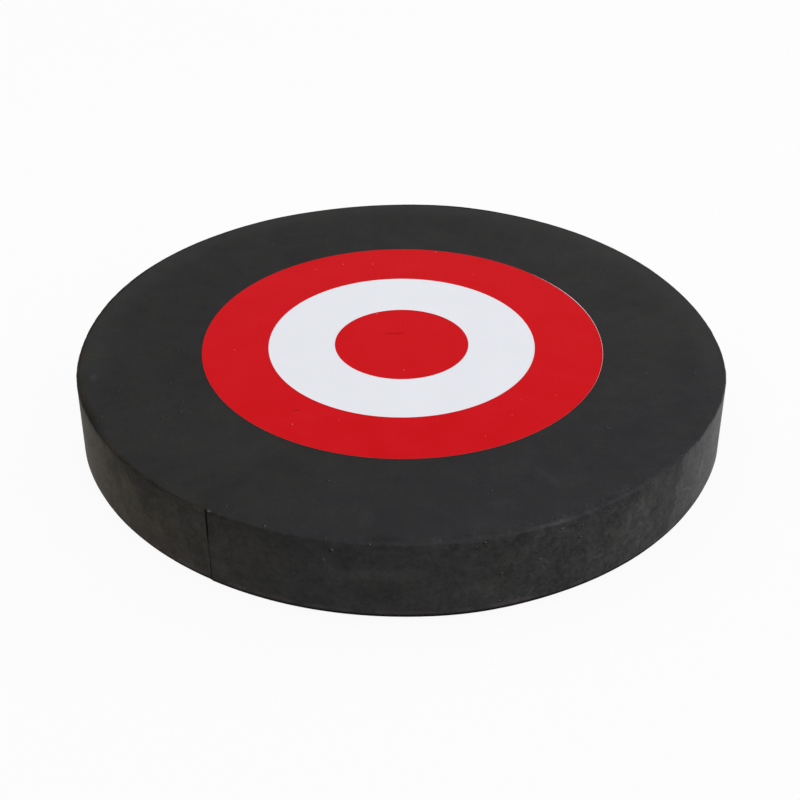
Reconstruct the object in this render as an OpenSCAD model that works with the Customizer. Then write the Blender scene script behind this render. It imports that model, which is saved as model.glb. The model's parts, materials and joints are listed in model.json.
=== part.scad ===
// Round foam archery target with a stuck-on bullseye face.
// The back of the foam lies on z = 0, the printed face looks up, and the front is towards -Y.

/* [Foam disc] */
// Diameter of the foam disc
disc_d = 240; // [180:5:400]
// Thickness of the foam disc
disc_t = 30; // [15:1:60]
// Radius of the rim round the printed side
front_rim_r = 0.6; // [0.2:0.1:2]
// Radius of the rim round the back
back_rim_r = 1; // [0.2:0.1:3]

/* [Cutting seam] */
// Where the cutter came in and went out, in degrees from the front towards the left
seam_angle = 32; // [0:1:90]
// Width of the seam at the wall
seam_w = 0.5; // [0.2:0.1:1.5]
// Depth of the seam into the foam
seam_depth = 2; // [0.5:0.5:6]

/* [Printed face] */
// Diameter of the film, as it was cut
film_d = 151; // [120:0.5:170]
// Diameter of the white ring
white_d = 100.5; // [80:0.5:115]
// Diameter of the red centre
centre_d = 50.5; // [20:0.5:75]
// How far the red was printed past the cut all round
bleed = 0.2; // [0:0.05:2]
// How far the print lies off the middle of its film
print_shift = 0.3; // [0:0.05:1.5]
// Direction of that shift, in degrees from the right towards the back
print_shift_angle = 195; // [0:5:355]
// How far the film was stuck off the middle of the foam, to the right
film_x = 0.6; // [-5:0.1:5]
// How far the film was stuck off the middle of the foam, to the back
film_y = 2.2; // [-5:0.1:5]

/* [Layers of the face] */
// Thickness of the adhesive coat on the foam
adhesive_t = 0.04; // [0.02:0.01:0.1]
// Thickness of the white film
film_t = 0.12; // [0.05:0.01:0.3]
// Thickness of the red ink
ink_t = 0.03; // [0.02:0.01:0.06]

/* [Hidden] */

$fn = 120;

disc_r = disc_d / 2;
print_d = film_d + 2 * bleed;

// Each layer of the face lies on the one before it.
adhesive_z = disc_t;
film_z = adhesive_z + adhesive_t;
ink_z = film_z + film_t;

// How far a cutting shape runs past what it cuts
overrun = 1;

foam_black = "#2c2c2c";
adhesive_cream = "#cfc7b3";
film_white = "#e8ebf1";
ink_red = "#cc111a";

// A flat round layer of the face, centred on the film, with its underside at z
module layer(d, t, z) {
    translate([film_x, film_y, z]) cylinder(d = d, h = t);
}

// The same for what was printed, which lies a little off the middle of the film
module printed_layer(d, t, z) {
    translate(print_shift * [cos(print_shift_angle), sin(print_shift_angle), 0]) layer(d, t, z);
}

// Half of the disc's section, from its axis to its wall, with both rims rounded
module disc_section() {
    half_t = disc_t / 2;
    square([disc_r - back_rim_r, half_t]);
    translate([0, half_t]) square([disc_r - front_rim_r, half_t]);
    translate([0, back_rim_r]) square([disc_r, disc_t - back_rim_r - front_rim_r]);
    translate([disc_r - back_rim_r, back_rim_r]) circle(r = back_rim_r);
    translate([disc_r - front_rim_r, disc_t - front_rim_r]) circle(r = front_rim_r);
}

// The slit that the two ends of the cut leave down the wall, closing to nothing inside the foam
module cutting_seam() {
    half_w = seam_w / 2;
    rotate([0, 0, -seam_angle])
        translate([0, -disc_r, -overrun])
            linear_extrude(height = disc_t + 2 * overrun)
                polygon([[-half_w, -overrun], [half_w, -overrun], [half_w, 0], [0, seam_depth], [-half_w, 0]]);
}

module foam_disc() {
    color(foam_black)
        difference() {
            rotate_extrude() disc_section();
            cutting_seam();
        }
}

module face_adhesive() {
    color(adhesive_cream) layer(film_d, adhesive_t, adhesive_z);
}

module face_film() {
    color(film_white) layer(film_d, film_t, film_z);
}

// The outer red ring, which ends where the film was cut or, on the side where it falls short, where it was printed
module red_ring() {
    color(ink_red)
        difference() {
            intersection() {
                printed_layer(print_d, ink_t, ink_z);
                layer(film_d, ink_t, ink_z);
            }
            printed_layer(white_d, ink_t + 2 * overrun, ink_z - overrun);
        }
}

module red_centre() {
    color(ink_red) printed_layer(centre_d, ink_t, ink_z);
}

foam_disc();
face_adhesive();
face_film();
red_ring();
red_centre();
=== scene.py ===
"""A round foam archery target with a printed face, and the white studio that it is shown in."""

import json
import math

import bpy
from bpy.props import FloatProperty
from bpy.props import FloatVectorProperty
from bpy.props import PointerProperty
from mathutils import Matrix
from mathutils import Vector


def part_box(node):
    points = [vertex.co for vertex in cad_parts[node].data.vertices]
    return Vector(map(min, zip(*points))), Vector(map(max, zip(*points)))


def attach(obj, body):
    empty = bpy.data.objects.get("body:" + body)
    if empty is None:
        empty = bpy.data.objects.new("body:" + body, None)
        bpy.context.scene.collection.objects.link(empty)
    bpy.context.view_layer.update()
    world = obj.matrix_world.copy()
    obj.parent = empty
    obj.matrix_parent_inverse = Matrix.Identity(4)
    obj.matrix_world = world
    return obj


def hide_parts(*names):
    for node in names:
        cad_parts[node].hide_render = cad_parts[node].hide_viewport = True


bl_info = {
    "name": "Archery Target Boss",
    "version": (1, 0, 0),
    "blender": (4, 5, 0),
    "location": "3D View > Sidebar > Target",
    "description": "Makes a foam target boss with a printed face, and a white studio to show it in",
    "category": "Add Mesh",
}

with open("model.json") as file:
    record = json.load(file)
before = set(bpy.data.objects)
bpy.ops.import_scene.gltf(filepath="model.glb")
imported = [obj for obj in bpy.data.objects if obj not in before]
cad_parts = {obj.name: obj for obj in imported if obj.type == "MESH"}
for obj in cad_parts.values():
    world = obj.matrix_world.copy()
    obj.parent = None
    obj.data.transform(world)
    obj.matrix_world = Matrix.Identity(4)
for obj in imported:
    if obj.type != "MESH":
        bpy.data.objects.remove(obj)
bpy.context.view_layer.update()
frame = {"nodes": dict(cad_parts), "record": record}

MM = 0.001
FULL_TURN = 2 * math.pi

# Points closer than this are one point, where a surface meets itself or closes at a pole.
WELD_DISTANCE = 0.001 * MM


# Measures taken from the frame

def frame_mount(name):
    """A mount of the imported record."""
    return next(mount for mount in frame["record"]["mounts"] if mount["name"] == name)


def frame_colour(slot):
    """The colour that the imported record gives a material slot."""
    return next(m["base_color"] for m in frame["record"]["materials"] if m["slot"] == slot)


def node_middle(node):
    """Where the middle of a CAD node lies, in x and y."""
    low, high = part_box(node)
    return (low + high).to_2d() / 2


def node_radius(node):
    """Half the width of a round CAD node."""
    low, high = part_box(node)
    return (high.x - low.x) / 2


def node_thickness(node):
    """How thick a CAD node is."""
    low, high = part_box(node)
    return high.z - low.z


def reaches(node, middle):
    """How far the points of a CAD node lie from a middle."""
    return [(point.co.to_2d() - middle).length for point in frame["nodes"][node].data.vertices]


rim = frame_mount("rim")
rim_half_length = rim["dims"]["length_mm"] * MM / 2
foam_thickness = node_thickness("foam_disc")
print_middle = node_middle("red_centre")
film_middle = node_middle("face_film")
ring_reaches = reaches("red_ring", print_middle)


# Settings that a user would change

class FoamSettings(bpy.types.PropertyGroup):
    """Sizes and colour of the foam slab."""

    radius: FloatProperty(
        name="Radius",
        description="Radius of the foam slab",
        default=rim["dims"]["r_mm"] * MM,
        unit="LENGTH",
    )
    thickness: FloatProperty(
        name="Thickness",
        description="Thickness of the foam slab",
        default=foam_thickness,
        unit="LENGTH",
    )
    front_rim: FloatProperty(
        name="Front Rim",
        description="Radius of the rim round the printed side",
        default=foam_thickness - rim["pos_m"][2] - rim_half_length,
        unit="LENGTH",
    )
    back_rim: FloatProperty(
        name="Back Rim",
        description="Radius of the rim round the back",
        default=rim["pos_m"][2] - rim_half_length,
        unit="LENGTH",
    )
    seam_angle: FloatProperty(
        name="Seam Angle",
        description="Where the knife came in and went out, from the front towards the right",
        default=math.radians(-32),
        subtype="ANGLE",
    )
    seam_width: FloatProperty(
        name="Seam Width",
        description="Width of the seam where it opens at the wall",
        default=0.5 * MM,
        unit="LENGTH",
    )
    seam_depth: FloatProperty(
        name="Seam Depth",
        description="Depth of the seam into the foam",
        default=2 * MM,
        unit="LENGTH",
    )
    seam_step: FloatProperty(
        name="Seam Step",
        description="How far the wall on one side of the seam stands out past the other side",
        default=0.3 * MM,
        unit="LENGTH",
    )
    wall_wander: FloatProperty(
        name="Wall Wander",
        description="How far the knife wandered in and out as it cut the wall",
        default=0.2 * MM,
        unit="LENGTH",
    )
    face_relief: FloatProperty(
        name="Face Relief",
        description="How far the sliced face dips between its highest and lowest places",
        default=0.1 * MM,
        unit="LENGTH",
    )
    colour: FloatVectorProperty(
        name="Foam",
        description="Colour of the foam",
        default=frame_colour("foam"),
        subtype="COLOR_GAMMA",
        size=3,
        min=0,
        max=1,
    )


class LabelSettings(bpy.types.PropertyGroup):
    """Sizes and colours of the printed face."""

    film_radius: FloatProperty(
        name="Film Radius",
        description="Radius that the film was cut to",
        default=node_radius("face_film"),
        unit="LENGTH",
    )
    film_middle: FloatVectorProperty(
        name="Film Middle",
        description="Where the middle of the film lies on the foam",
        default=film_middle,
        size=2,
        subtype="TRANSLATION",
        unit="LENGTH",
    )
    print_radius: FloatProperty(
        name="Print Radius",
        description="Radius that the red was printed to, a little past the cut",
        default=max(ring_reaches),
        unit="LENGTH",
    )
    print_middle: FloatVectorProperty(
        name="Print Middle",
        description="Where the middle of the print lies on the foam",
        default=print_middle,
        size=2,
        subtype="TRANSLATION",
        unit="LENGTH",
    )
    white_radius: FloatProperty(
        name="White Radius",
        description="Outer radius of the white ring, which is bare film",
        default=min(ring_reaches),
        unit="LENGTH",
    )
    centre_radius: FloatProperty(
        name="Centre Radius",
        description="Radius of the red centre",
        default=node_radius("red_centre"),
        unit="LENGTH",
    )
    wide_cut: FloatProperty(
        name="Wide Cut",
        description="How far the knife swung out of the film's circle on its right",
        default=0.14 * MM,
        unit="LENGTH",
    )
    film_colour: FloatVectorProperty(
        name="Film",
        description="Colour of the bare film",
        default=frame_colour("white_film"),
        subtype="COLOR_GAMMA",
        size=3,
        min=0,
        max=1,
    )
    ink_colour: FloatVectorProperty(
        name="Ink",
        description="Colour of the print",
        default=frame_colour("red_ink"),
        subtype="COLOR_GAMMA",
        size=3,
        min=0,
        max=1,
    )
    adhesive_colour: FloatVectorProperty(
        name="Adhesive",
        description="Colour of the adhesive at the edge of the film",
        default=frame_colour("adhesive"),
        subtype="COLOR_GAMMA",
        size=3,
        min=0,
        max=1,
    )


class StudioSettings(bpy.types.PropertyGroup):
    """Where the camera stands and how strong the light is."""

    camera_distance: FloatProperty(
        name="Camera Distance",
        description="Distance of the camera from the middle of the foam's back",
        default=0.6191,
        unit="LENGTH",
    )
    camera_elevation: FloatProperty(
        name="Camera Elevation",
        description="Height of the camera above the horizon",
        default=math.radians(33.32),
        subtype="ANGLE",
    )
    camera_rise: FloatProperty(
        name="Camera Rise",
        description="How far the camera is moved up in its own picture plane",
        default=4.88 * MM,
        unit="LENGTH",
    )
    camera_side: FloatProperty(
        name="Camera Side",
        description="How far the camera is moved to the right in its own picture plane",
        default=-0.3 * MM,
        unit="LENGTH",
    )
    lens: FloatProperty(
        name="Lens",
        description="Focal length, for a picture 36 mm wide",
        default=71.87,
        unit="CAMERA",
    )
    ambient: FloatProperty(
        name="Ambient Light",
        description="Strength of the soft light that comes from all round",
        default=0.5,
    )


# Node trees, written as expressions

def find_socket(sockets, key):
    """A socket by its number, or the one in use by its name."""
    if isinstance(key, int):
        return sockets[key]
    return next(socket for socket in sockets if socket.enabled and socket.name == key)


class Term:
    """One output of a node, so that sums of nodes read as ordinary sums."""

    def __init__(self, sheet, socket):
        self.sheet = sheet
        self.socket = socket

    def math(self, operation, *others):
        return self.sheet.math(operation, self, *others)

    def __add__(self, other):
        return self.math("ADD", other)

    def __radd__(self, other):
        return self.math("ADD", other)

    def __sub__(self, other):
        return self.math("SUBTRACT", other)

    def __rsub__(self, other):
        return self.sheet.math("SUBTRACT", other, self)

    def __mul__(self, other):
        return self.math("MULTIPLY", other)

    def __rmul__(self, other):
        return self.math("MULTIPLY", other)

    def __truediv__(self, other):
        return self.math("DIVIDE", other)

    def __rtruediv__(self, other):
        return self.sheet.math("DIVIDE", other, self)

    def __pow__(self, other):
        return self.math("POWER", other)

    def __neg__(self):
        return self.math("MULTIPLY", -1)

    def __gt__(self, other):
        return self.math("GREATER_THAN", other)

    def __lt__(self, other):
        return self.math("LESS_THAN", other)

    def sin(self):
        return self.math("SINE")

    def cos(self):
        return self.math("COSINE")

    def abs(self):
        return self.math("ABSOLUTE")

    def bell(self, middle, spread):
        """1 at the middle, falling away smoothly on both sides."""
        return self.sheet.math("EXPONENT", -(((self - middle) / spread) ** 2))


class NodeSheet:
    """Adds nodes to one tree and wires them."""

    def __init__(self, tree):
        self.tree = tree

    def add(self, kind, settings=None, sockets=None, output=0):
        """A node with its settings, then its sockets, set. Gives one output, or a list of them."""
        node = self.tree.nodes.new(kind)
        for name, value in (settings or {}).items():
            if name == "stops":
                self.set_stops(node.color_ramp, value)
            else:
                setattr(node, name, value)
        for name, value in (sockets or {}).items():
            socket = find_socket(node.inputs, name)
            if isinstance(value, Term):
                self.tree.links.new(value.socket, socket)
            else:
                socket.default_value = value
        if isinstance(output, list):
            return [Term(self, find_socket(node.outputs, name)) for name in output]
        return Term(self, find_socket(node.outputs, output))

    def set_stops(self, ramp, stops):
        """Gives a colour ramp its stops, each a place and a grey level."""
        while len(ramp.elements) < len(stops):
            ramp.elements.new(1)
        for element, (place, level) in zip(ramp.elements, stops):
            element.position = place
            element.color = (level, level, level, 1)

    def math(self, operation, *values):
        """A Math node on values or terms."""
        return self.add("ShaderNodeMath", {"operation": operation}, dict(enumerate(values)))

    def ramp(self, value, start, end, low=0, high=1, curve="LINEAR"):
        """A value carried from one range to another and held at its ends."""
        sockets = {"Value": value, "From Min": start, "From Max": end, "To Min": low, "To Max": high}
        return self.add("ShaderNodeMapRange", {"interpolation_type": curve}, sockets)

    def step(self, value, start, end):
        """0 before start, 1 after end and a smooth change between them."""
        return self.ramp(value, start, end, curve="SMOOTHSTEP")

    def join(self, x, y, z=0):
        """A vector from its three parts."""
        return self.add("ShaderNodeCombineXYZ", None, {"X": x, "Y": y, "Z": z})

    def split(self, vector):
        """The three parts of a vector."""
        return self.add("ShaderNodeSeparateXYZ", None, {"Vector": vector}, ["X", "Y", "Z"])

    def noise(self, place, size, detail=2, roughness=0.5, distortion=0):
        """Soft noise about 0.5, with features of a real size."""
        sockets = {
            "Vector": place,
            "Scale": 1 / size,
            "Detail": detail,
            "Roughness": roughness,
            "Distortion": distortion,
        }
        return self.add("ShaderNodeTexNoise", {"noise_dimensions": "3D"}, sockets)

    def dots(self, flat, spacing, radius, share):
        """Small round dots on a flattened surface, in a share of the cells of a loose grid."""
        sockets = {"Vector": flat, "Scale": 1 / spacing}
        outputs = ["Distance", "Color"]
        distance, tint = self.add("ShaderNodeTexVoronoi", {"voronoi_dimensions": "2D"}, sockets, outputs)
        chance, size, _ = self.split(tint)
        reach = radius / spacing * (0.6 + size * 0.8)
        return self.ramp(distance, reach, reach * 0.4, curve="SMOOTHSTEP") * (chance < share)

    def stretched(self, place, x, y, z):
        """A place whose axes are scaled, which draws a pattern out along the small ones."""
        sockets = {0: place, 1: (x, y, z)}
        return self.add("ShaderNodeVectorMath", {"operation": "MULTIPLY"}, sockets)

    def mix_colour(self, factor, first, second):
        """A colour between two others."""
        sockets = {"Factor": factor, "A": first, "B": second}
        return self.add("ShaderNodeMix", {"data_type": "RGBA"}, sockets, "Result")

    def mix_place(self, factor, first, second):
        """A vector between two others."""
        sockets = {"Factor": factor, "A": first, "B": second}
        return self.add("ShaderNodeMix", {"data_type": "VECTOR"}, sockets, "Result")

    def tint(self, colour, amount):
        """A colour made lighter or darker by an amount that varies, where 1 leaves it alone."""
        red, green, blue = colour
        return self.join(amount * red, amount * green, amount * blue)


# Shapes made by Geometry Nodes

def geometry_sheet(name, inputs):
    """A Geometry Nodes tree with named inputs, and those inputs as terms."""
    tree = bpy.data.node_groups.new(name, "GeometryNodeTree")
    for label, kind in inputs:
        tree.interface.new_socket(name=label, in_out="INPUT", socket_type=kind)
    tree.interface.new_socket(name="Geometry", in_out="OUTPUT", socket_type="NodeSocketGeometry")
    sheet = NodeSheet(tree)
    names = [label for label, kind in inputs]
    terms = sheet.add("NodeGroupInput", output=names)
    return sheet, dict(zip(names, terms))


def placed_grid(sheet, columns, rows):
    """A grid of faces, with the column and the row of each point. Rows can be a term."""
    sockets = {"Vertices X": columns, "Vertices Y": rows}
    grid = sheet.add("GeometryNodeMeshGrid", None, sockets)
    index = sheet.add("GeometryNodeInputIndex")
    column = (index / rows + 0.5 / 100000).math("FLOOR")
    return grid, column, index - column * rows


def stored(sheet, grid, name, value):
    """The grid with a value kept on its points, for the material to read."""
    sockets = {"Geometry": grid, "Name": name, "Value": value}
    settings = {"data_type": "FLOAT", "domain": "POINT"}
    return sheet.add("GeometryNodeStoreNamedAttribute", settings, sockets)


def finished_geometry(sheet, grid, place, material):
    """Moves the grid's points to their places, welds its edges and gives it its finish."""
    moved = sheet.add("GeometryNodeSetPosition", None, {"Geometry": grid, "Position": place})
    welded = sheet.add("GeometryNodeMergeByDistance", None, {"Geometry": moved, "Distance": WELD_DISTANCE})
    smooth = sheet.add("GeometryNodeSetShadeSmooth", {"domain": "FACE"}, {"Geometry": welded})
    angle = sheet.add("GeometryNodeInputMeshEdgeAngle")
    crisp_edges = {"Geometry": smooth, "Selection": angle > math.radians(50), "Shade Smooth": False}
    crisp = sheet.add("GeometryNodeSetShadeSmooth", {"domain": "EDGE"}, crisp_edges)
    real = sheet.add("GeometryNodeRealizeInstances", None, {"Geometry": crisp})
    painted = sheet.add("GeometryNodeSetMaterial", None, {"Geometry": real, "Material": material})
    sheet.add("NodeGroupOutput", None, {"Geometry": painted}, [])


def face_relief(sheet, x, y, relief):
    """How far the foam's sliced face dips at a place. Everything that is stuck on it dips too."""
    wave_size = 45 * MM
    wave = sheet.noise(sheet.join(x, y), wave_size, detail=1)
    return (wave - 1) * relief


def mesh_from_tree(name, sheet, values):
    """A plain mesh object made by a Geometry Nodes tree from these values."""
    piece = bpy.data.objects.new(name, bpy.data.meshes.new(name))
    bpy.context.scene.collection.objects.link(piece)
    modifier = piece.modifiers.new(sheet.tree.name, "NODES")
    modifier.node_group = sheet.tree
    for item in sheet.tree.interface.items_tree:
        if item.in_out == "INPUT":
            modifier[item.identifier] = values[item.name]
    depsgraph = bpy.context.evaluated_depsgraph_get()
    made = bpy.data.meshes.new_from_object(piece.evaluated_get(depsgraph))
    piece.modifiers.remove(modifier)
    piece.data = made
    made.name = name
    if not made.polygons:
        raise RuntimeError(f"{name} came out empty")
    return piece


# The foam slab

SEAM_COLUMNS = 26
SEAM_BAND = 2.6 * MM
ROUND_COLUMNS = 900

BACK_ROWS = 10
RIM_ROWS = 4
WALL_ROWS = 34
EDGE_ROWS = 6
FACE_ROWS = 12
COVERED_ROWS = 12

# How wide the strip of the face is that wears with its rim
EDGE_BAND = 4 * MM

# How far in from the wall its unevenness runs out on the flat faces
WALL_FADE = 6 * MM

# Where the knife strayed from its circle: degrees from the front towards the right, the stretch's
# half width in degrees, and how far out it lies in millimetres
STRAYS = (
    (11, 9, 0.45),
    (78, 12, 1.1),
    (112, 15, -1.0),
    (131, 10, -0.5),
    (168, 12, 1.0),
    (-163, 7, -0.3),
    (-118, 26, 0.55),
    (-78, 12, 0.7),
    (-40, 20, -0.5),
)

# The part of the wall that has been knocked and scuffed, from the front towards the right
SCUFF_MIDDLE = math.radians(30)
SCUFF_SPREAD = math.radians(22)

# A curved scratch on the unrolled wall: the middle of its circle, along the wall and up it
SCRATCH_MIDDLE = (110 * MM, -0.5 * MM)
SCRATCH_RADIUS = 15.6 * MM


def seam_kink(sheet, height):
    """How far the seam steps to the right in its lower part."""
    return sheet.step(height, 12 * MM, 8 * MM) * (0.4 * MM)


def foam_tree():
    """The slab: a section swept round its axis by a knife that doesn't quite meet its own start."""
    sheet, given = geometry_sheet("Foam slab", (
        ("Radius", "NodeSocketFloat"),
        ("Thickness", "NodeSocketFloat"),
        ("Front Rim", "NodeSocketFloat"),
        ("Back Rim", "NodeSocketFloat"),
        ("Covered Radius", "NodeSocketFloat"),
        ("Seam Angle", "NodeSocketFloat"),
        ("Seam Width", "NodeSocketFloat"),
        ("Seam Depth", "NodeSocketFloat"),
        ("Seam Step", "NodeSocketFloat"),
        ("Wall Wander", "NodeSocketFloat"),
        ("Face Relief", "NodeSocketFloat"),
        ("Material", "NodeSocketMaterial"),
    ))
    radius = given["Radius"]
    thickness = given["Thickness"]
    front_rim = given["Front Rim"]
    back_rim = given["Back Rim"]

    back_end = BACK_ROWS
    back_rim_end = back_end + RIM_ROWS
    wall_end = back_rim_end + WALL_ROWS
    front_rim_end = wall_end + RIM_ROWS
    edge_end = front_rim_end + EDGE_ROWS
    face_end = edge_end + FACE_ROWS
    last_row = face_end + COVERED_ROWS
    columns = SEAM_COLUMNS + ROUND_COLUMNS
    grid, column, row = placed_grid(sheet, columns + 1, last_row + 1)

    # The section, from the middle of the back, round the wall, to the middle of the face
    quarter = math.pi / 2
    outward = sheet.ramp(row, 0, back_end, 0, radius - back_rim)
    back_turn = sheet.ramp(row, back_end, back_rim_end, 0, quarter)
    climb = sheet.ramp(row, back_rim_end, wall_end, 0, thickness - back_rim - front_rim)
    front_turn = sheet.ramp(row, wall_end, front_rim_end, 0, quarter)
    bare_face = radius - front_rim - EDGE_BAND - given["Covered Radius"]
    inward = sheet.ramp(row, front_rim_end, edge_end, 0, EDGE_BAND)
    inward = inward + sheet.ramp(row, edge_end, face_end, 0, bare_face)
    inward = inward + sheet.ramp(row, face_end, last_row, 0, given["Covered Radius"])
    reach = outward + back_rim * back_turn.sin() - front_rim * (1 - front_turn.cos()) - inward
    height = back_rim * (1 - back_turn.cos()) + climb + front_rim * front_turn.sin()

    # The way round, with its columns close together at the seam
    band = SEAM_BAND / radius
    turn = sheet.ramp(column, 0, SEAM_COLUMNS, 0, band)
    turn = turn + sheet.ramp(column, SEAM_COLUMNS, columns, 0, FULL_TURN - band)
    from_seam = (turn - band / 2).math("WRAP", math.pi, -math.pi)
    angle = given["Seam Angle"] + from_seam
    along = from_seam * radius

    # What the knife did: it wandered, left a slit where it came in, and a step where it went out
    at_wall = sheet.step(reach, radius - WALL_FADE, radius - front_rim)
    x = angle.sin() * reach
    y = -(angle.cos() * reach)
    place = sheet.join(x, y, height)
    kink = seam_kink(sheet, height)
    opening = given["Seam Width"] * sheet.ramp(height, 15 * MM, 21 * MM, 0.22, 0.9)
    slit = sheet.math("MAXIMUM", 1 - (along - kink).abs() / opening, 0)
    slit = slit * sheet.ramp(height, thickness - front_rim, thickness, 1, 0.1)
    lips = along.bell(0, 0.9 * MM) * (0.12 * MM)
    side = (along - kink).math("SIGN")
    step = side * (along.abs() / (-9 * MM)).math("EXPONENT") * given["Seam Step"] / 2
    wander = (sheet.noise(sheet.stretched(place, 1, 1, 0.6), 38 * MM, detail=2) - 0.5) * given["Wall Wander"]
    for middle, spread, out in STRAYS:
        stray = (angle - math.radians(middle)).math("WRAP", math.pi, -math.pi)
        wander = wander + stray.bell(0, math.radians(spread)) * (out * MM)
    ripple = (sheet.noise(place, 5 * MM, detail=2) - 0.5) * (0.08 * MM)

    # The ragged edge that the knife left at the rim, and its wear where the wall was scuffed
    in_front = angle.math("WRAP", math.pi, -math.pi).bell(math.radians(5), math.radians(75))
    top_zone = sheet.step(height, thickness - 3.5 * MM, thickness - front_rim)
    ragged = (sheet.noise(place, 4 * MM, detail=1) - 0.5) * (0.8 * MM) * (0.2 + in_front)
    worn = angle.bell(SCUFF_MIDDLE, SCUFF_SPREAD) * (0.4 * MM)
    cut = wander + ripple + lips + step + (ragged - worn) * top_zone - slit * given["Seam Depth"]
    radial = reach + cut * at_wall

    # The rim's own nicks and wear seen from above, and the dips of the sliced face
    rim_zone = sheet.step(reach, radius - 3 * MM, radius - 0.2 * MM) * top_zone
    nicks = sheet.step(sheet.noise(place, 3 * MM, detail=1), 0.5, 0.7) * (0.25 * MM) * in_front
    on_face = sheet.step(height, thickness - front_rim, thickness)
    dip = face_relief(sheet, x, y, given["Face Relief"]) * on_face
    raised = height + dip - (nicks + worn) * rim_zone
    place = sheet.join(angle.sin() * radial, -(angle.cos() * radial), raised)

    marked = stored(sheet, grid, "wall", sheet.step(reach, radius - front_rim, radius))
    finished_geometry(sheet, marked, place, given["Material"])
    return sheet


def linear(colour):
    """A colour as it is seen on screen, as the light values that shaders use."""
    return tuple(((c + 0.055) / 1.055) ** 2.4 if c > 0.04045 else c / 12.92 for c in colour)


def shader_sheet(name):
    """A material and the sheet of its nodes, with only the output in it."""
    material = bpy.data.materials.new(name)
    material.use_nodes = True
    material.node_tree.nodes.clear()
    return material, NodeSheet(material.node_tree)


def finish_material(sheet, shader):
    """Wires the shader to the material's output."""
    sheet.add("ShaderNodeOutputMaterial", None, {"Surface": shader}, [])


# Where the foam is lighter or darker near its rim, some of it painted light as marked below: degrees
# from the front towards the right, millimetres in from the rim or, below 0, down the wall, the half
# width and half height of the patch in millimetres, and how much lighter it is
PATCHES = (
    (-79, 5.6, 3, 2, 0.35),
    (-72, -15, 4, 8, 0.25),
    (-66, -0.5, 16, 3, -0.4),
    (-60, -25, 9, 4, -0.25),
    (-56, -9, 7, 5, -0.3),
    (-50, -2.5, 14, 3.5, -0.5),
    (-45, -8.5, 8, 5, -0.35),
    (-43, -20, 6, 4, 0.15),
    (-38, -6, 6, 4, -0.2),
    # Painted highlight: a thin light line along the rim left of the seam
    (-33.4, -0.5, 3.5, 0.7, 0.5),
    # Painted highlight on the burr beside the top of the seam
    (-31.4, 0.5, 0.6, 0.5, 3),
    (18, 17, 5, 2.5, 0.15),
    (31, 19, 3, 3, 0.15),
    (30.5, 25, 2, 5, 0.15),
    (-6, 13, 3, 6, 0.2),
    # Painted sheen: a light band across the front of the wall
    (-3, -12.6, 15, 2.4, 0.3),
    (-3, -20, 15, 3.5, -0.12),
    (-2.5, 3, 6, 2.5, -0.18),
    (15, -21, 9, 5, 0.2),
    # Painted floor light: a light line along the bottom of the wall
    (17, -27.8, 14, 1.2, 0.5),
    (24.5, 0.5, 5, 0.9, 0.6),
    (31.5, -15, 2, 10, 0.35),
    (33, -20, 3, 0.7, 0.5),
    (33, -26, 3, 3, 0.35),
    (38.9, -10.6, 4, 6, 0.3),
    (39.2, -10.5, 1.2, 4, 0.7),
    (42, -6, 1.2, 3.5, 0.6),
    (43.5, -12, 1.2, 2.2, 0.6),
    (45.5, -12, 1.5, 1.5, -0.4),
    (45.8, -2.8, 2, 1.6, 0.5),
    (46.5, -19, 1.6, 2.2, -0.3),
    # Painted highlight on the polished part of the wall
    (61.6, -15.7, 2.4, 3, 0.9),
)

# Torn cells near the rim, each a painted highlight on a light lip beside a painted shadow in a dark hole: the same
# two places, and the radius
TORN_CELLS = (
    (-65.7, 4.4, 0.28),
    (-63.7, 32.8, 0.25),
    (-60.6, 30.6, 0.34),
    (-46.7, -16.8, 0.36),
    (-29.7, 5.5, 0.28),
    (-26.4, -18.4, 0.3),
    (-21.6, 1.7, 0.34),
    (-11.8, -7.9, 0.34),
    (-10.5, -3.3, 0.46),
    (-4.7, 0.3, 0.34),
    (12.9, -1.2, 0.38),
    (15.7, -14.9, 0.38),
    (15.5, -26.3, 0.34),
    (20.6, -18.1, 0.3),
    (22.1, -12.5, 0.38),
    (25.8, -2.5, 0.42),
    (29.3, -8.5, 0.32),
    (29.5, -3.7, 0.32),
    (53.2, 28.9, 0.3),
    (53.4, 0.7, 0.32),
)


def spot(sheet, skin, middle, size, strength):
    """A soft oval on the unrolled skin, as strong as asked in its middle and 0 outside."""
    scale = tuple(1 / length for length in size)
    shift = tuple(-place / length for place, length in zip(middle, size))
    inputs = {0: skin, 1: (*scale, 0), 2: (*shift, 0)}
    scaled = sheet.add("ShaderNodeVectorMath", {"operation": "MULTIPLY_ADD"}, inputs)
    distance = sheet.add("ShaderNodeVectorMath", {"operation": "LENGTH"}, {0: scaled}, "Value")
    return sheet.ramp(distance, 1.4, 0.3, 0, strength, curve="SMOOTHSTEP")


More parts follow.
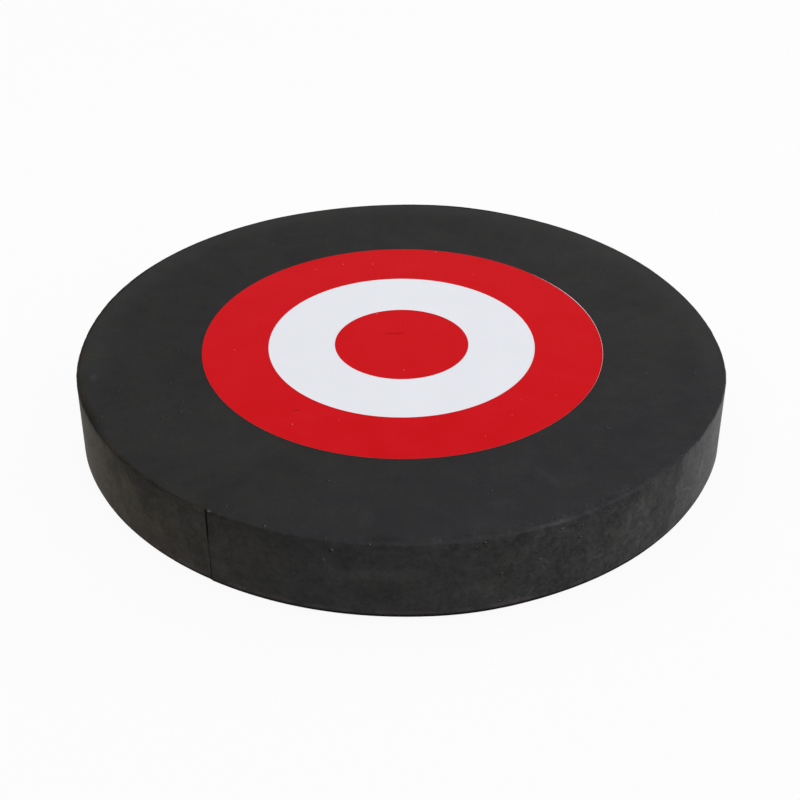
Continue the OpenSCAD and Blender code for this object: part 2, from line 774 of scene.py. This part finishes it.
def foam_marks(sheet, foam, place, unrolled):
    """What the named patches and torn cells add to the foam's lightness, painted highlights and painted shadows
    among them.
    """
    wobble = sheet.add("ShaderNodeTexNoise", None, {"Vector": place, "Scale": 1 / (4 * MM)}, "Color")
    swing = 2.5 * MM
    inputs = {0: wobble, 1: (swing, swing, 0), 2: (-swing / 2, -swing / 2, 0)}
    wobble = sheet.add("ShaderNodeVectorMath", {"operation": "MULTIPLY_ADD"}, inputs)
    loose = sheet.add("ShaderNodeVectorMath", {"operation": "ADD"}, {0: unrolled, 1: wobble})
    marks = 0
    for degrees, inward, half_width, half_height, strength in PATCHES:
        middle = (math.radians(degrees) * foam.radius, inward * MM)
        marks = spot(sheet, loose, middle, (half_width * MM, half_height * MM), strength) + marks
    for degrees, inward, size in TORN_CELLS:
        along = math.radians(degrees) * foam.radius
        radius = size * MM
        # Each torn cell: a painted highlight on its lip, and a painted shadow in the hole just beside it
        marks = spot(sheet, unrolled, (along, inward * MM), (radius, radius * 0.8), 3.2) + marks
        hole = (along - radius * 1.3, inward * MM - radius)
        marks = spot(sheet, unrolled, hole, (radius * 1.2, radius), -0.8) + marks
    return marks


def foam_tone(sheet, place, flat, wall, scuffed):
    """The foam's light and dark: clouds of a slicing blade, fine grain and crumbs, with painted shade in open
    cells and painted highlights on torn lips.
    """
    clouds = sheet.noise(place, 20 * MM, detail=2)
    blotches = sheet.noise(place, 7 * MM, detail=3, roughness=0.6)
    mottle = sheet.noise(place, 2 * MM, detail=2)
    grain = sheet.noise(place, 0.6 * MM, detail=2, roughness=0.7)
    shade = 1 + (clouds - 0.5) * 0.5 + (blotches - 0.5) * (0.35 + wall * 0.4 + scuffed * 0.8)
    shade = shade + (mottle - 0.5) * (0.22 + wall * 0.55 + scuffed * 0.8)
    shade = shade + (grain - 0.5) * (0.32 + wall * 0.2 + scuffed)

    # Soft bands and short strokes along the wall, where the knife dragged
    drag = sheet.noise(sheet.stretched(flat, 0.4, 1, 1), 5 * MM, detail=2)
    strokes = sheet.noise(sheet.stretched(flat, 0.4, 1, 1), 1.2 * MM, detail=1)
    shade = shade + ((drag - 0.5) * 0.4 + (strokes - 0.5) * 0.25) * wall

    # Torn cells, each a painted highlight on a light lip beside a painted shadow in a dark hole, open cells
    # darkened with painted shade, and finer crumbs of foam
    beside = sheet.add("ShaderNodeVectorMath", {"operation": "ADD"}, {0: flat, 1: (0.45 * MM, 0.35 * MM, 0)})
    share = 0.06 + wall * 0.1 + scuffed * 0.4
    lips = sheet.dots(flat, 6 * MM, 0.28 * MM, share)
    hole_shadows = sheet.dots(beside, 6 * MM, 0.33 * MM, share)
    shaded_pits = sheet.dots(flat, 5.3 * MM, 0.3 * MM, 0.35)
    crumbs = sheet.dots(flat, 3.4 * MM, 0.22 * MM, 0.2 + scuffed * 0.3)
    shade = shade * (1 - hole_shadows * 0.7) * (1 - shaded_pits * 0.3) + lips * 1.6 + crumbs * (0.4 + scuffed * 1.2)

    # Fine light scuffs, which follow the bends of a noise
    bends = sheet.noise(sheet.stretched(flat, 0.6, 1, 1), 9 * MM, detail=3)
    lines = sheet.math("MAXIMUM", 1 - (bends - 0.5).abs() / 0.012, 0)
    patches = sheet.step(blotches, 0.5, 0.62)
    return shade + lines * patches * (0.08 + scuffed * 0.8), clouds, blotches, mottle, grain


def foam_material(foam):
    """Black closed-cell foam: a matt sliced face, and a knife-cut wall that shines in places."""
    material, sheet = shader_sheet("Black foam")
    place = sheet.add("ShaderNodeTexCoord", output="Object")
    wall = sheet.add("ShaderNodeAttribute", {"attribute_name": "wall"}, output="Fac")
    x, y, z = sheet.split(place)
    azimuth = sheet.math("ARCTAN2", x, -y)
    around = azimuth * foam.radius
    reach = (x * x + y * y) ** 0.5
    flat = sheet.mix_place(wall, place, sheet.join(around, z))
    unrolled = sheet.join(around, z - foam.thickness + foam.radius - reach)

    near_wall = sheet.step(reach, foam.radius - 7 * MM, foam.radius - 1 * MM)
    scuffed = azimuth.bell(SCUFF_MIDDLE, SCUFF_SPREAD) * near_wall
    shade, clouds, blotches, mottle, grain = foam_tone(sheet, place, flat, wall, scuffed)
    shade = shade + foam_marks(sheet, foam, place, unrolled)

    # Where the wall is polished: hardly at the front, a little on the far left and most on the right
    border = azimuth + (sheet.noise(place, 9 * MM, detail=2) - 0.5) * math.radians(5)
    up = z / foam.thickness
    middling = sheet.step(border - up * math.radians(14), math.radians(28), math.radians(31))
    middling = middling * sheet.ramp(azimuth, math.radians(44), math.radians(50), 1, 0.15)
    polished = sheet.step(border - up * math.radians(2.8), math.radians(50.1), math.radians(50.7))
    right = sheet.ramp(azimuth, math.radians(51), math.radians(72), 0.15, 0.31)
    right = right * sheet.ramp(z, 3 * MM, 26 * MM, 0.75, 1.05)
    left = sheet.ramp(azimuth, math.radians(-50), math.radians(-68), 0, 0.06)
    not_behind = sheet.step(azimuth.abs(), math.radians(165), math.radians(105))
    worn_smooth = 0.02 + (middling * 0.08 + polished * right + left) * not_behind
    patchy = 1 + (clouds - 0.5) * 0.5 + (blotches - 0.5) * 0.8 + (mottle - 0.5) * 1.1 + (grain - 0.5) * 2
    sheen = wall * worn_smooth * patchy

    # One long curved scratch on the polished part
    from_scratch = sheet.join(around - SCRATCH_MIDDLE[0], z - SCRATCH_MIDDLE[1])
    distance = sheet.add("ShaderNodeVectorMath", {"operation": "LENGTH"}, {0: from_scratch}, "Value")
    scratch = distance.bell(SCRATCH_RADIUS, 0.3 * MM) * wall
    scratch = scratch * around.bell(117.5 * MM, 5 * MM) * (z > SCRATCH_MIDDLE[1])
    shade = shade + scratch * 1.2

    # Painted light and shade on the wall: painted shade under the rim, painted floor light low down, and a painted
    # contact shadow where it meets a table
    shade_under_rim = wall * sheet.step(z, 19 * MM, 27 * MM) * (1 - scuffed)
    # Painted light: the wall is painted lighter from the front round to the right, fading out behind
    shade = shade + wall * sheet.step(azimuth, math.radians(-24), math.radians(10)) * not_behind * 0.3
    shade = shade - shade_under_rim * 0.12 + wall * sheet.step(z, 14 * MM, 5 * MM) * 0.08
    # Painted floor light: a pale line just above the bottom edge, in patches
    floor_light_edge = wall * z.bell(2.3 * MM, 0.6 * MM) * sheet.step(blotches, 0.4, 0.6)
    shade = shade + floor_light_edge * 0.45
    # Painted contact shadow: black along the bottom edge of the wall
    contact_shadow = sheet.step(reach, foam.radius - 2 * MM, foam.radius - 1 * MM) * sheet.step(z, 1.7 * MM, 1.1 * MM)
    # Painted shade down the slit of the seam, strongest near the face; with the contact shadow it darkens colour
    # and coat
    waver = (sheet.noise(sheet.join(0, 0, z), 5 * MM, detail=1) - 0.5) * (0.8 * MM)
    seam_place = foam.seam_angle * foam.radius + seam_kink(sheet, z) + waver
    seam_half = sheet.ramp(z, 17 * MM, 21 * MM, 0.32 * MM, 0.42 * MM)
    seam = around.bell(seam_place, seam_half) * wall
    dark = (1 - contact_shadow * 0.95) * (1 - seam * (0.9 - z.bell(14 * MM, 5 * MM) * 0.35))

    # The rim is paler where the wall is scuffed: partly wear, and partly painted light that lifts the worn rim's
    # shade
    worn_and_lit_rim = scuffed * (1 - wall) * sheet.step(reach, foam.radius - 2.8 * MM, foam.radius - 0.8 * MM)
    shade = shade + worn_and_lit_rim * (0.25 + blotches * 0.5)

    # The face is a little darker on the left, and paler in a band round its rim except at the front
    face = 1 - wall
    shade = shade + face * x * (0.09 / foam.radius)
    pale_rim_band = sheet.step(reach, foam.radius - 14 * MM, foam.radius - 2 * MM) * sheet.step(y, -70 * MM, 20 * MM)
    shade = (shade + face * pale_rim_band * 0.25) * dark

    # A brown cast on the left of the wall and its rim, which is painted warm light and darkens it a little
    near_rim = sheet.step(reach, foam.radius - 3 * MM, foam.radius - 0.5 * MM)
    warm_cast = sheet.step(azimuth, math.radians(-12), math.radians(-50)) * sheet.step(y, 60 * MM, 0)
    warm_cast = warm_cast * near_rim * (0.4 + wall * 0.6)
    strong_warm_cast = sheet.step(azimuth, math.radians(-40), math.radians(-66)) * warm_cast
    # Painted shade on the rounded top rim: dark at the far rim, and darker where the brown cast lies
    shaded_top_rim = sheet.step(reach, foam.radius - 0.9 * MM, foam.radius - 0.3 * MM)
    shaded_top_rim = shaded_top_rim * sheet.step(z, 27 * MM, 29 * MM)
    shade = shade * (1 - shaded_top_rim * (sheet.step(y, -30 * MM, 30 * MM) * 0.6 + warm_cast * 0.45))
    # Darker stains within the brown cast, and coarser grain there
    stains = sheet.step(sheet.noise(place, 9 * MM, detail=2), 0.48, 0.62) * warm_cast
    uneven = (grain - 0.5) * 0.9 + (blotches - 0.5) * 0.7
    shade = shade * (1 - warm_cast * 0.08 - stains * 0.15 + uneven * warm_cast)

    # A cool cast at the front right, a pinkish tint of the painted floor light on the low edge, and a slight drift
    # of hue everywhere
    drift = sheet.noise(place, 10 * MM, detail=2) - 0.5
    cool = sheet.step(x * 0.6 - y, 50 * MM, 110 * MM) * face
    pink_floor_light = floor_light_edge * 0.2
    red, green, blue = linear(foam.colour)
    colour = sheet.join(
        shade * red * (1 + warm_cast * 0.16 + stains * 0.06 + drift * 0.06 + cool * 0.02 + pink_floor_light),
        shade * green * (1 - strong_warm_cast * 0.07),
        shade * blue * (1 - warm_cast * 0.2 - strong_warm_cast * 0.25 - stains * 0.08 - drift * 0.2 + cool * 0.08 + pink_floor_light / 2),
    )

    rough = 0.85 - wall * 0.2 + (clouds - 0.5) * 0.1
    cells = sheet.add("ShaderNodeTexVoronoi", {"feature": "SMOOTH_F1"},
                      {"Vector": place, "Scale": 1 / (0.6 * MM), "Smoothness": 0.4})
    height = cells * 0.5 + grain * 0.7
    bump = sheet.add("ShaderNodeBump", None, {"Strength": 0.4, "Distance": 0.1 * MM, "Height": height})
    shader = sheet.add("ShaderNodeBsdfPrincipled", None, {
        "Base Color": colour,
        "Roughness": rough,
        "Specular IOR Level": 0.06,
        "Coat Weight": sheen * dark,
        "Coat Roughness": 0.45,
        "Coat IOR": 1.5,
        "Normal": bump,
    })
    finish_material(sheet, shader)
    return material


class TARGET_OT_foam_slab(bpy.types.Operator):
    """Cut the foam slab"""

    bl_idname = "target.foam_slab"
    bl_label = "Cut Foam Slab"

    def execute(self, context):
        foam = context.scene.target_foam
        label = context.scene.target_label
        slab = mesh_from_tree("foam_slab", foam_tree(), {
            "Radius": foam.radius,
            "Thickness": foam.thickness,
            "Front Rim": foam.front_rim,
            "Back Rim": foam.back_rim,
            "Covered Radius": label.white_radius + 20 * MM,
            "Seam Angle": foam.seam_angle,
            "Seam Width": foam.seam_width,
            "Seam Depth": foam.seam_depth,
            "Seam Step": foam.seam_step,
            "Wall Wander": foam.wall_wander,
            "Face Relief": foam.face_relief,
            "Material": foam_material(foam),
        })
        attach(slab, "root")
        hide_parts("foam_disc")
        return {"FINISHED"}


# The printed face

LAYER_COLUMNS = 400

# Where the knife swung wide, from the right towards the back
WIDE_CUT_ANGLE = math.radians(27)


def layer_tree():
    """A thin round layer, full or with a hole, that ends where the film was cut or sooner."""
    sheet, given = geometry_sheet("Stuck layer", (
        ("Middle X", "NodeSocketFloat"),
        ("Middle Y", "NodeSocketFloat"),
        ("Outer Radius", "NodeSocketFloat"),
        ("Hole Radius", "NodeSocketFloat"),
        ("Underside", "NodeSocketFloat"),
        ("Thickness", "NodeSocketFloat"),
        ("Film Radius", "NodeSocketFloat"),
        ("Film Offset X", "NodeSocketFloat"),
        ("Film Offset Y", "NodeSocketFloat"),
        ("Wide Cut", "NodeSocketFloat"),
        ("Face Relief", "NodeSocketFloat"),
        ("Material", "NodeSocketMaterial"),
    ))
    across = 24
    has_hole = given["Hole Radius"] > 0
    grid, column, row = placed_grid(sheet, LAYER_COLUMNS + 1, 2 * across + 2 + has_hole)

    # Where the film was cut, seen from the middle of this layer
    angle = column * (FULL_TURN / LAYER_COLUMNS)
    toward = angle.cos() * given["Film Offset X"] + angle.sin() * given["Film Offset Y"]
    aside = angle.sin() * given["Film Offset X"] - angle.cos() * given["Film Offset Y"]
    from_wide = (angle - WIDE_CUT_ANGLE).math("WRAP", math.pi, -math.pi)
    wide = from_wide.bell(0, math.radians(13)) * given["Wide Cut"]
    cut = (given["Film Radius"] ** 2 - aside ** 2) ** 0.5 + toward + wide
    edge = sheet.math("MINIMUM", cut, given["Outer Radius"])

    # Rows run out along the underside and back along the top, and down again at a hole
    from_turn = (row - (across + 0.5)).abs() - 0.5
    share = 1 - sheet.math("MINIMUM", from_turn, across) / across
    reach = given["Hole Radius"] + (edge - given["Hole Radius"]) * share
    on_top = (row > across + 0.5) * (row < 2 * across + 1.5)
    x = given["Middle X"] + angle.cos() * reach
    y = given["Middle Y"] + angle.sin() * reach
    z = given["Underside"] + on_top * given["Thickness"] + face_relief(sheet, x, y, given["Face Relief"])
    marked = stored(sheet, grid, "top", on_top)
    finished_geometry(sheet, marked, sheet.join(x, y, z), given["Material"])
    return sheet


# Creases in the print: the middle's x and y, the length and how many degrees it rises to the right
CREASES = (
    (-2.6, 9.3, 7.4, 5),
    (-37.0, -43.5, 3.0, 12),
)


def crease_mask(sheet, x, y):
    """1 on the creases that knocks have left in the print, 0 off them."""
    mask = 0
    width = 0.35 * MM
    for middle_x, middle_y, length, rise in CREASES:
        turn = math.radians(rise)
        right = x - middle_x * MM
        back = y - middle_y * MM
        along = right * math.cos(turn) + back * math.sin(turn)
        across = back * math.cos(turn) - right * math.sin(turn)
        end = length / 2 * MM
        mask = across.bell(0, width) * sheet.step(along.abs(), end, end - 0.8 * MM) + mask
    return mask


def vinyl_material(name, colour):
    """Satin vinyl. Its cut edge is drawn much darker than its top."""
    material, sheet = shader_sheet(name)
    place = sheet.add("ShaderNodeTexCoord", output="Object")
    top = sheet.add("ShaderNodeAttribute", {"attribute_name": "top"}, output="Fac")
    clouds = sheet.noise(place, 20 * MM, detail=2)
    peel = sheet.noise(place, 1.5 * MM, detail=2)
    shade = 1 + (clouds - 0.5) * 0.05 + (peel - 0.5) * 0.03
    shade = shade * sheet.ramp(top, 0.85, 1, 0.12, 1)
    surface = sheet.tint(linear(colour), shade)
    return vinyl_shader(material, sheet, surface, clouds, peel)


def vinyl_shader(material, sheet, surface, clouds, height):
    """The satin gloss that bare and printed vinyl share."""
    bump = sheet.add("ShaderNodeBump", None, {"Strength": 0.1, "Distance": 0.05 * MM, "Height": height})
    shader = sheet.add("ShaderNodeBsdfPrincipled", None, {
        "Base Color": surface,
        "Roughness": 0.4 + (clouds - 0.5) * 0.1,
        "Specular IOR Level": 0.02,
        "Normal": bump,
    })
    finish_material(sheet, shader)
    return material


def ink_material(colour, film_colour):
    """Red print, with a few creases darkened by painted shade, and the odd spot where the white film shows."""
    material, sheet = shader_sheet("Red ink")
    place = sheet.add("ShaderNodeTexCoord", output="Object")
    clouds = sheet.noise(place, 14 * MM, detail=3)
    peel = sheet.noise(place, 1.5 * MM, detail=2)
    x, y, z = sheet.split(place)
    creased = crease_mask(sheet, x, y)
    # The creases are painted darker, as painted shade in their folds, and they dent the bump
    shade = (1 + (clouds - 0.5) * 0.1 + (peel - 0.5) * 0.05) * (1 - creased * 0.45)
    red, green, blue = linear(colour)
    weak = 1 + (clouds - 0.5) * 0.9
    printed = sheet.join(shade * red, shade * weak * green, shade * weak * blue)
    spots = sheet.dots(sheet.join(x, y), 13 * MM, 0.22 * MM, 0.35) * 0.35
    surface = sheet.mix_place(spots, printed, linear(film_colour))
    return vinyl_shader(material, sheet, surface, clouds, peel - creased * 3)


def adhesive_material(colour):
    """The adhesive coat, which shows as a hairline round the film and is drawn much darker than its own colour."""
    material, sheet = shader_sheet("Adhesive")
    place = sheet.add("ShaderNodeTexCoord", output="Object")
    beads = sheet.noise(place, 0.8 * MM, detail=2)
    bump = sheet.add("ShaderNodeBump", None, {"Strength": 0.3, "Distance": 0.05 * MM, "Height": beads})
    shader = sheet.add("ShaderNodeBsdfPrincipled", None, {
        "Base Color": sheet.tint(linear(colour), 0.15 + beads * 0.3),
        "Roughness": 0.7,
        "Specular IOR Level": 0.2,
        "Normal": bump,
    })
    finish_material(sheet, shader)
    return material


def stick_layer(scene, sheet, name, node, material, middle, outer, hole=0.0):
    """One layer of the printed face, in the place of its CAD node."""
    label = scene.target_label
    low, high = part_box(node)
    offset = Vector(label.film_middle) - Vector(middle)
    layer = mesh_from_tree(name, sheet, {
        "Middle X": middle[0],
        "Middle Y": middle[1],
        "Outer Radius": outer,
        "Hole Radius": hole,
        "Underside": low.z,
        "Thickness": high.z - low.z,
        "Film Radius": label.film_radius,
        "Film Offset X": offset.x,
        "Film Offset Y": offset.y,
        "Wide Cut": label.wide_cut,
        "Face Relief": scene.target_foam.face_relief,
        "Material": material,
    })
    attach(layer, "root")
    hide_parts(node)
    return layer


class TARGET_OT_film(bpy.types.Operator):
    """Stick the film to the foam, with its adhesive"""

    bl_idname = "target.film"
    bl_label = "Stick Film"

    def execute(self, context):
        scene = context.scene
        label = scene.target_label
        sheet = layer_tree()
        uncut = 2 * label.film_radius
        stick_layer(scene, sheet, "film_adhesive", "face_adhesive",
                    adhesive_material(label.adhesive_colour), label.film_middle, uncut)
        stick_layer(scene, sheet, "white_film", "face_film",
                    vinyl_material("White vinyl", label.film_colour), label.film_middle, uncut)
        return {"FINISHED"}


class TARGET_OT_print(bpy.types.Operator):
    """Print the red ring and the red centre on the film"""

    bl_idname = "target.print"
    bl_label = "Print Rings"

    def execute(self, context):
        scene = context.scene
        label = scene.target_label
        sheet = layer_tree()
        ink = ink_material(label.ink_colour, label.film_colour)
        stick_layer(scene, sheet, "printed_ring", "red_ring", ink,
                    label.print_middle, label.print_radius, label.white_radius)
        stick_layer(scene, sheet, "printed_centre", "red_centre", ink,
                    label.print_middle, label.centre_radius)
        return {"FINISHED"}


# The studio

# Each lamp's name, place, width, height, power in watts and colour. All of them face the target.
LAMPS = (
    ("overhead", (0.0, 0.0, 1.6), 1.6, 1.6, 11.0, (1.0, 1.0, 1.0)),
    ("right", (0.9, 0.25, 0.3), 0.8, 0.6, 3.6, (1.0, 1.0, 1.0)),
    ("left", (-0.9, 0.1, 0.4), 0.8, 0.8, 1.2, (1.0, 0.93, 0.85)),
)


def add_camera(studio):
    """The camera, at the photograph's viewing angle."""
    camera = bpy.data.objects.new("camera", bpy.data.cameras.new("camera"))
    bpy.context.scene.collection.objects.link(camera)
    turn = Matrix.Rotation(math.pi / 2 - studio.camera_elevation, 4, "X")
    stand = turn @ Vector((studio.camera_side, studio.camera_rise, studio.camera_distance))
    camera.matrix_world = Matrix.Translation(stand) @ turn
    camera.data.sensor_width = 36
    camera.data.lens = studio.lens
    camera.data.clip_start = 0.01
    camera.data.clip_end = 50
    bpy.context.scene.camera = camera


def add_lamp(name, place, width, height, power, colour):
    """A soft box that faces the target."""
    data = bpy.data.lights.new(name, "AREA")
    data.shape = "RECTANGLE"
    data.size = width
    data.size_y = height
    data.energy = power
    data.color = colour
    lamp = bpy.data.objects.new(name, data)
    bpy.context.scene.collection.objects.link(lamp)
    lamp.location = place
    lamp.rotation_euler = (-Vector(place)).to_track_quat("-Z", "Y").to_euler()
    lamp.visible_camera = False


def seen_directly(sheet):
    """1 for what the camera, a reflection or a clear material looks at, and 0 for plain light."""
    kinds = ["Is Camera Ray", "Is Glossy Ray", "Is Transmission Ray"]
    camera, glossy, through = sheet.add("ShaderNodeLightPath", output=kinds)
    return sheet.math("MAXIMUM", sheet.math("MAXIMUM", camera, glossy), through)


def floor_material():
    """White card that looks white from above, keeps a faint shadow and is open from below."""
    material, sheet = shader_sheet("White card")
    card = sheet.add("ShaderNodeBsdfDiffuse", None, {"Color": (0.8, 0.8, 0.8, 1)})
    glow = sheet.add("ShaderNodeEmission", None, {"Color": (1, 1, 1, 1), "Strength": 1})
    shown = sheet.add("ShaderNodeMixShader", None, {0: 0.92, 1: card, 2: glow})
    top = sheet.add("ShaderNodeMixShader", None, {0: seen_directly(sheet), 1: card, 2: shown})
    below = sheet.add("ShaderNodeNewGeometry", output="Backfacing")
    clear = sheet.add("ShaderNodeBsdfTransparent")
    finish_material(sheet, sheet.add("ShaderNodeMixShader", None, {0: below, 1: top, 2: clear}))
    return material


def add_floor():
    """A wide round floor just under the target."""
    floor_radius = 8
    drop = 0.02 * MM
    sides = 64
    points = []
    for side in range(sides):
        angle = side * FULL_TURN / sides
        points.append((floor_radius * math.cos(angle), floor_radius * math.sin(angle), -drop))
    mesh = bpy.data.meshes.new("floor")
    mesh.from_pydata(points, [], [range(sides)])
    mesh.materials.append(floor_material())
    floor = bpy.data.objects.new("floor", mesh)
    bpy.context.scene.collection.objects.link(floor)


def set_world(studio):
    """White wherever it is looked at, and a softer light elsewhere."""
    world = bpy.data.worlds.new("Studio")
    world.use_nodes = True
    world.node_tree.nodes.clear()
    sheet = NodeSheet(world.node_tree)
    strength = studio.ambient + seen_directly(sheet) * (1 - studio.ambient)
    light = sheet.add("ShaderNodeBackground", None, {"Color": (1, 1, 1, 1), "Strength": strength})
    sheet.add("ShaderNodeOutputWorld", None, {"Surface": light}, [])
    bpy.context.scene.world = world


class TARGET_OT_studio(bpy.types.Operator):
    """Set up the camera, the lamps and the white floor"""

    bl_idname = "target.studio"
    bl_label = "Set Up Studio"

    def execute(self, context):
        studio = context.scene.target_studio
        add_camera(studio)
        for lamp in LAMPS:
            add_lamp(*lamp)
        add_floor()
        set_world(studio)
        context.scene.view_settings.view_transform = "Standard"
        return {"FINISHED"}


class TARGET_PT_sidebar(bpy.types.Panel):
    """The target's settings and the steps that make it"""

    bl_idname = "TARGET_PT_sidebar"
    bl_label = "Target Boss"
    bl_space_type = "VIEW_3D"
    bl_region_type = "UI"
    bl_category = "Target"

    def draw(self, context):
        layout = self.layout
        for step in STEPS:
            layout.operator(step.bl_idname)
        for settings in (context.scene.target_foam, context.scene.target_label, context.scene.target_studio):
            box = layout.box()
            for name in settings.__annotations__:
                box.prop(settings, name)


STEPS = (TARGET_OT_foam_slab, TARGET_OT_film, TARGET_OT_print, TARGET_OT_studio)
CLASSES = (FoamSettings, LabelSettings, StudioSettings, *STEPS, TARGET_PT_sidebar)


def register():
    for cls in CLASSES:
        bpy.utils.register_class(cls)
    bpy.types.Scene.target_foam = PointerProperty(type=FoamSettings)
    bpy.types.Scene.target_label = PointerProperty(type=LabelSettings)
    bpy.types.Scene.target_studio = PointerProperty(type=StudioSettings)


def unregister():
    del bpy.types.Scene.target_studio
    del bpy.types.Scene.target_label
    del bpy.types.Scene.target_foam
    for cls in reversed(CLASSES):
        bpy.utils.unregister_class(cls)


def main():
    """Makes the target and its studio."""
    register()
    bpy.ops.target.foam_slab()
    bpy.ops.target.film()
    bpy.ops.target.print()
    bpy.ops.target.studio()


if __name__ == "__main__":
    main()
